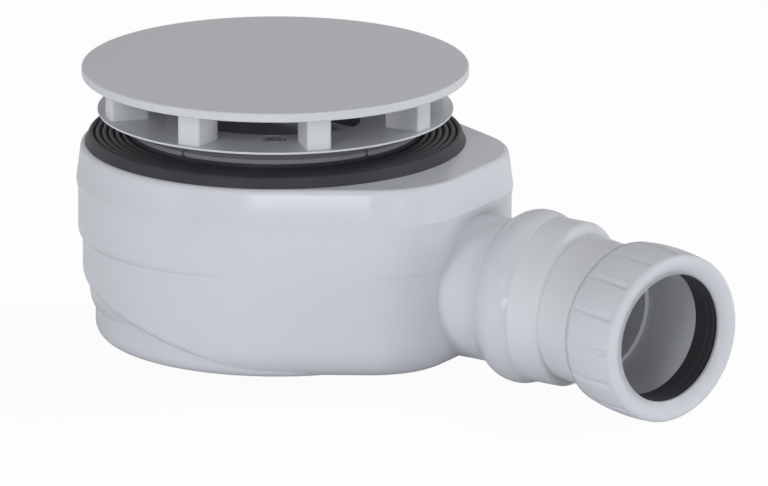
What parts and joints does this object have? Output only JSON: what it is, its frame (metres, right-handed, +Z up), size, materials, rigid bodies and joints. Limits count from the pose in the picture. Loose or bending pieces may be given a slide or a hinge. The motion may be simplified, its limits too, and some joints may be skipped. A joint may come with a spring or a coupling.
{
  "type": "shower trap",
  "caption": "Low shower trap with a raised round cover on posts, a flange and rubber seal for the tray, a pear-shaped tank and a side outlet with a compression nut.",
  "frame": {"origin": "on the axis of the inlet, in the plane of the tank's flat base", "axes": "+Z up along the inlet, +X along the neck of the outlet, away from the tank"},
  "size_m": [0.2107, 0.1182, 0.0868],
  "materials": {
    "body_plastic": "satin",
    "cover_plastic": "satin",
    "washer_plastic": "plain",
    "seal_rubber": "moulded",
    "screw_steel": "plain"
  },
  "bodies": {
    "root": {"lower_tank": "body_plastic", "upper_deck": "body_plastic", "waste_flange": "body_plastic", "dip_tube": "body_plastic", "tailpiece": "body_plastic", "compression_nut": "body_plastic", "tray_seal": "seal_rubber", "dip_tube_ring": "seal_rubber", "socket_seal": "seal_rubber", "pipe_rubber": "seal_rubber", "top_cover": "cover_plastic", "slip_washer": "washer_plastic", "flange_screws": "screw_steel"}
  },
  "joints": []
}
